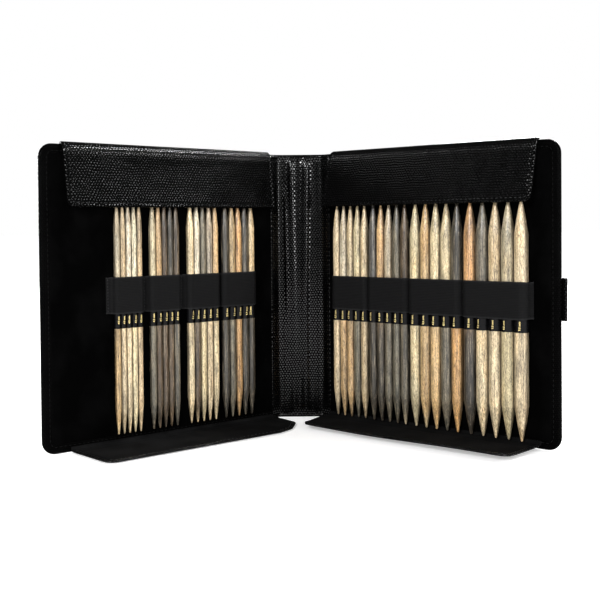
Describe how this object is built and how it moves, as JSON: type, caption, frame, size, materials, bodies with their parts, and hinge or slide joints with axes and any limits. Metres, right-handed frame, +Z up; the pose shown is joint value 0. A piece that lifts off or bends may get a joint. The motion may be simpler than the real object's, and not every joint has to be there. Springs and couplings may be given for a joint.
{
  "type": "double-pointed needle set",
  "caption": "Folding black case standing open, its two covers holding wooden double-pointed knitting needles of graded thickness in elastic loops.",
  "frame": {"origin": "foot of the spine, at the middle of its inside face, on the table", "axes": "+Z up; the case opens towards -Y; +X to the right of a person looking into the open case"},
  "size_m": [0.3259, 0.1469, 0.194],
  "materials": {
    "black_leather": "black fine-scale grained leather-look, semi-gloss",
    "black_suede": "matt black suede-like cloth",
    "black_elastic": "ribbed black woven elastic",
    "board": "grey stiffener board",
    "snap_metal": "black lacquered press stud",
    "wood_cream": "lacquered cream wood with grey grain",
    "wood_grey": "lacquered grey-brown wood",
    "wood_tan": "lacquered tan wood with grey streaks"
  },
  "bodies": {
    "spine": {"spine_outer_leather": "black_leather", "spine_inner_leather": "black_leather"},
    "left_cover": {"left_outer_leather": "black_leather", "left_board": "board", "left_lining": "black_suede", "left_elastic": "black_elastic", "snap_stud": "snap_metal"},
    "right_cover": {"right_outer_leather": "black_leather", "right_board": "board", "right_lining": "black_suede", "right_elastic": "black_elastic"},
    "left_top_flap": {"left_top_flap": "black_leather"},
    "right_top_flap": {"right_top_flap": "black_leather"},
    "left_bottom_base": {"left_bottom_flap_base": "black_leather"},
    "left_bottom_flap": {"left_bottom_flap": "black_leather"},
    "right_bottom_base": {"right_bottom_flap_base": "black_leather"},
    "right_bottom_flap": {"right_bottom_flap": "black_leather"},
    "strap_bridge": {"strap_bridge": "black_leather"},
    "strap_tip": {"strap_tip": "black_leather", "snap_cap": "snap_metal"},
    "needle_4_0mm_1": {"needle_4_0mm_1": "wood_cream"},
    "needle_4_0mm_2": {"needle_4_0mm_2": "wood_cream"},
    "needle_4_0mm_3": {"needle_4_0mm_3": "wood_cream"},
    "needle_4_0mm_4": {"needle_4_0mm_4": "wood_cream"},
    "needle_4_0mm_5": {"needle_4_0mm_5": "wood_cream"},
    "needle_4_5mm_1": {"needle_4_5mm_1": "wood_grey"},
    "needle_4_5mm_2": {"needle_4_5mm_2": "wood_grey"},
    "needle_4_5mm_3": {"needle_4_5mm_3": "wood_grey"},
    "needle_4_5mm_4": {"needle_4_5mm_4": "wood_grey"},
    "needle_4_5mm_5": {"needle_4_5mm_5": "wood_grey"},
    "needle_5_0mm_1": {"needle_5_0mm_1": "wood_cream"},
    "needle_5_0mm_2": {"needle_5_0mm_2": "wood_cream"},
    "needle_5_0mm_3": {"needle_5_0mm_3": "wood_cream"},
    "needle_5_0mm_4": {"needle_5_0mm_4": "wood_cream"},
    "needle_5_0mm_5": {"needle_5_0mm_5": "wood_cream"},
    "needle_5_5mm_1": {"needle_5_5mm_1": "wood_grey"},
    "needle_5_5mm_2": {"needle_5_5mm_2": "wood_grey"},
    "needle_5_5mm_3": {"needle_5_5mm_3": "wood_grey"},
    "needle_5_5mm_4": {"needle_5_5mm_4": "wood_grey"},
    "needle_5_5mm_5": {"needle_5_5mm_5": "wood_grey"},
    "needle_6_0mm_1": {"needle_6_0mm_1": "wood_cream"},
    "needle_6_0mm_2": {"needle_6_0mm_2": "wood_cream"},
    "needle_6_0mm_3": {"needle_6_0mm_3": "wood_cream"},
    "needle_6_0mm_4": {"needle_6_0mm_4": "wood_cream"},
    "needle_6_0mm_5": {"needle_6_0mm_5": "wood_cream"},
    "needle_6_5mm_1": {"needle_6_5mm_1": "wood_grey"},
    "needle_6_5mm_2": {"needle_6_5mm_2": "wood_grey"},
    "needle_6_5mm_3": {"needle_6_5mm_3": "wood_grey"},
    "needle_6_5mm_4": {"needle_6_5mm_4": "wood_grey"},
    "needle_6_5mm_5": {"needle_6_5mm_5": "wood_grey"},
    "needle_8_0mm_1": {"needle_8_0mm_1": "wood_tan"},
    "needle_8_0mm_2": {"needle_8_0mm_2": "wood_tan"},
    "needle_8_0mm_3": {"needle_8_0mm_3": "wood_tan"},
    "needle_8_0mm_4": {"needle_8_0mm_4": "wood_tan"},
    "needle_8_0mm_5": {"needle_8_0mm_5": "wood_tan"},
    "needle_9_0mm_1": {"needle_9_0mm_1": "wood_tan"},
    "needle_9_0mm_2": {"needle_9_0mm_2": "wood_tan"},
    "needle_9_0mm_3": {"needle_9_0mm_3": "wood_tan"},
    "needle_9_0mm_4": {"needle_9_0mm_4": "wood_tan"},
    "needle_9_0mm_5": {"needle_9_0mm_5": "wood_tan"}
  },
  "joints": [
    {"name": "case_left_cover", "type": "hinge", "parent": "spine", "child": "left_cover", "pos_m": [-0.016, 0, 0.097], "axis": [0, 0, -1], "range_deg": [-50, 40]},
    {"name": "case_right_cover", "type": "hinge", "parent": "spine", "child": "right_cover", "pos_m": [0.016, 0, 0.097], "axis": [0, 0, 1], "range_deg": [-50, 40]},
    {"name": "flap_top_left", "type": "hinge", "parent": "left_cover", "child": "left_top_flap", "pos_m": [-0.0822, -0.05685, 0.1925], "axis": [-0.766, -0.6428, 0], "range_deg": [0, 164]},
    {"name": "flap_bottom_left", "type": "hinge", "parent": "left_bottom_base", "child": "left_bottom_flap", "pos_m": [-0.07705, -0.06298, 0.00085], "axis": [0.766, 0.6428, 0], "range_deg": [-90, 0]},
    {"name": "fold_base_left", "type": "hinge", "parent": "left_cover", "child": "left_bottom_base", "pos_m": [-0.0822, -0.05685, 0.00085], "axis": [0.766, 0.6428, 0], "range_deg": [0, 90]},
    {"name": "flap_top_right", "type": "hinge", "parent": "right_cover", "child": "right_top_flap", "pos_m": [0.08488, -0.0591, 0.1925], "axis": [-0.766, 0.6428, 0], "range_deg": [0, 164]},
    {"name": "flap_bottom_right", "type": "hinge", "parent": "right_bottom_base", "child": "right_bottom_flap", "pos_m": [0.07748, -0.06791, 0.00285], "axis": [0.766, -0.6428, 0], "range_deg": [-90, 0]},
    {"name": "fold_base_right", "type": "hinge", "parent": "right_cover", "child": "right_bottom_base", "pos_m": [0.08488, -0.0591, 0.00285], "axis": [0.766, -0.6428, 0], "range_deg": [0, 90]},
    {"name": "strap_fold", "type": "hinge", "parent": "right_cover", "child": "strap_bridge", "pos_m": [0.164, -0.11812, 0.0943], "axis": [0, 0, 1], "range_deg": [-240, 0]},
    {"name": "strap_tip_fold", "type": "hinge", "parent": "strap_bridge", "child": "strap_tip", "pos_m": [0.1495, -0.07827, 0.0943], "axis": [0, 0, 1], "range_deg": [-90, 0]},
    {"name": "withdraw_needle_4_0mm_1", "type": "slide", "parent": "left_cover", "child": "needle_4_0mm_1", "axis": [0, 0, 1], "range_m": [-0.005, 0.01]},
    {"name": "withdraw_needle_4_0mm_2", "type": "slide", "parent": "left_cover", "child": "needle_4_0mm_2", "axis": [0, 0, 1], "range_m": [-0.005, 0.01]},
    {"name": "withdraw_needle_4_0mm_3", "type": "slide", "parent": "left_cover", "child": "needle_4_0mm_3", "axis": [0, 0, 1], "range_m": [-0.005, 0.01]},
    {"name": "withdraw_needle_4_0mm_4", "type": "slide", "parent": "left_cover", "child": "needle_4_0mm_4", "axis": [0, 0, 1], "range_m": [-0.005, 0.01]},
    {"name": "withdraw_needle_4_0mm_5", "type": "slide", "parent": "left_cover", "child": "needle_4_0mm_5", "axis": [0, 0, 1], "range_m": [-0.005, 0.01]},
    {"name": "withdraw_needle_4_5mm_1", "type": "slide", "parent": "left_cover", "child": "needle_4_5mm_1", "axis": [0, 0, 1], "range_m": [-0.005, 0.01]},
    {"name": "withdraw_needle_4_5mm_2", "type": "slide", "parent": "left_cover", "child": "needle_4_5mm_2", "axis": [0, 0, 1], "range_m": [-0.005, 0.01]},
    {"name": "withdraw_needle_4_5mm_3", "type": "slide", "parent": "left_cover", "child": "needle_4_5mm_3", "axis": [0, 0, 1], "range_m": [-0.005, 0.01]},
    {"name": "withdraw_needle_4_5mm_4", "type": "slide", "parent": "left_cover", "child": "needle_4_5mm_4", "axis": [0, 0, 1], "range_m": [-0.005, 0.01]},
    {"name": "withdraw_needle_4_5mm_5", "type": "slide", "parent": "left_cover", "child": "needle_4_5mm_5", "axis": [0, 0, 1], "range_m": [-0.005, 0.01]},
    {"name": "withdraw_needle_5_0mm_1", "type": "slide", "parent": "left_cover", "child": "needle_5_0mm_1", "axis": [0, 0, 1], "range_m": [-0.005, 0.01]},
    {"name": "withdraw_needle_5_0mm_2", "type": "slide", "parent": "left_cover", "child": "needle_5_0mm_2", "axis": [0, 0, 1], "range_m": [-0.005, 0.01]},
    {"name": "withdraw_needle_5_0mm_3", "type": "slide", "parent": "left_cover", "child": "needle_5_0mm_3", "axis": [0, 0, 1], "range_m": [-0.005, 0.01]},
    {"name": "withdraw_needle_5_0mm_4", "type": "slide", "parent": "left_cover", "child": "needle_5_0mm_4", "axis": [0, 0, 1], "range_m": [-0.005, 0.01]},
    {"name": "withdraw_needle_5_0mm_5", "type": "slide", "parent": "left_cover", "child": "needle_5_0mm_5", "axis": [0, 0, 1], "range_m": [-0.005, 0.01]},
    {"name": "withdraw_needle_5_5mm_1", "type": "slide", "parent": "left_cover", "child": "needle_5_5mm_1", "axis": [0, 0, 1], "range_m": [-0.005, 0.01]},
    {"name": "withdraw_needle_5_5mm_2", "type": "slide", "parent": "left_cover", "child": "needle_5_5mm_2", "axis": [0, 0, 1], "range_m": [-0.005, 0.01]},
    {"name": "withdraw_needle_5_5mm_3", "type": "slide", "parent": "left_cover", "child": "needle_5_5mm_3", "axis": [0, 0, 1], "range_m": [-0.005, 0.01]},
    {"name": "withdraw_needle_5_5mm_4", "type": "slide", "parent": "left_cover", "child": "needle_5_5mm_4", "axis": [0, 0, 1], "range_m": [-0.005, 0.01]},
    {"name": "withdraw_needle_5_5mm_5", "type": "slide", "parent": "left_cover", "child": "needle_5_5mm_5", "axis": [0, 0, 1], "range_m": [-0.005, 0.01]},
    {"name": "withdraw_needle_6_0mm_1", "type": "slide", "parent": "right_cover", "child": "needle_6_0mm_1", "axis": [0, 0, 1], "range_m": [-0.0007, 0.012]},
    {"name": "withdraw_needle_6_0mm_2", "type": "slide", "parent": "right_cover", "child": "needle_6_0mm_2", "axis": [0, 0, 1], "range_m": [-0.0007, 0.012]},
    {"name": "withdraw_needle_6_0mm_3", "type": "slide", "parent": "right_cover", "child": "needle_6_0mm_3", "axis": [0, 0, 1], "range_m": [-0.0007, 0.012]},
    {"name": "withdraw_needle_6_0mm_4", "type": "slide", "parent": "right_cover", "child": "needle_6_0mm_4", "axis": [0, 0, 1], "range_m": [-0.0007, 0.012]},
    {"name": "withdraw_needle_6_0mm_5", "type": "slide", "parent": "right_cover", "child": "needle_6_0mm_5", "axis": [0, 0, 1], "range_m": [-0.0007, 0.012]},
    {"name": "withdraw_needle_6_5mm_1", "type": "slide", "parent": "right_cover", "child": "needle_6_5mm_1", "axis": [0, 0, 1], "range_m": [-0.0007, 0.012]},
    {"name": "withdraw_needle_6_5mm_2", "type": "slide", "parent": "right_cover", "child": "needle_6_5mm_2", "axis": [0, 0, 1], "range_m": [-0.0007, 0.012]},
    {"name": "withdraw_needle_6_5mm_3", "type": "slide", "parent": "right_cover", "child": "needle_6_5mm_3", "axis": [0, 0, 1], "range_m": [-0.0007, 0.012]},
    {"name": "withdraw_needle_6_5mm_4", "type": "slide", "parent": "right_cover", "child": "needle_6_5mm_4", "axis": [0, 0, 1], "range_m": [-0.0007, 0.012]},
    {"name": "withdraw_needle_6_5mm_5", "type": "slide", "parent": "right_cover", "child": "needle_6_5mm_5", "axis": [0, 0, 1], "range_m": [-0.0007, 0.012]},
    {"name": "withdraw_needle_8_0mm_1", "type": "slide", "parent": "right_cover", "child": "needle_8_0mm_1", "axis": [0, 0, 1], "range_m": [-0.0007, 0.012]},
    {"name": "withdraw_needle_8_0mm_2", "type": "slide", "parent": "right_cover", "child": "needle_8_0mm_2", "axis": [0, 0, 1], "range_m": [-0.0007, 0.012]},
    {"name": "withdraw_needle_8_0mm_3", "type": "slide", "parent": "right_cover", "child": "needle_8_0mm_3", "axis": [0, 0, 1], "range_m": [-0.0007, 0.012]},
    {"name": "withdraw_needle_8_0mm_4", "type": "slide", "parent": "right_cover", "child": "needle_8_0mm_4", "axis": [0, 0, 1], "range_m": [-0.0007, 0.012]},
    {"name": "withdraw_needle_8_0mm_5", "type": "slide", "parent": "right_cover", "child": "needle_8_0mm_5", "axis": [0, 0, 1], "range_m": [-0.0007, 0.012]},
    {"name": "withdraw_needle_9_0mm_1", "type": "slide", "parent": "right_cover", "child": "needle_9_0mm_1", "axis": [0, 0, 1], "range_m": [-0.0007, 0.012]},
    {"name": "withdraw_needle_9_0mm_2", "type": "slide", "parent": "right_cover", "child": "needle_9_0mm_2", "axis": [0, 0, 1], "range_m": [-0.0007, 0.012]},
    {"name": "withdraw_needle_9_0mm_3", "type": "slide", "parent": "right_cover", "child": "needle_9_0mm_3", "axis": [0, 0, 1], "range_m": [-0.0007, 0.012]},
    {"name": "withdraw_needle_9_0mm_4", "type": "slide", "parent": "right_cover", "child": "needle_9_0mm_4", "axis": [0, 0, 1], "range_m": [-0.0007, 0.012]},
    {"name": "withdraw_needle_9_0mm_5", "type": "slide", "parent": "right_cover", "child": "needle_9_0mm_5", "axis": [0, 0, 1], "range_m": [-0.0007, 0.012]}
  ]
}
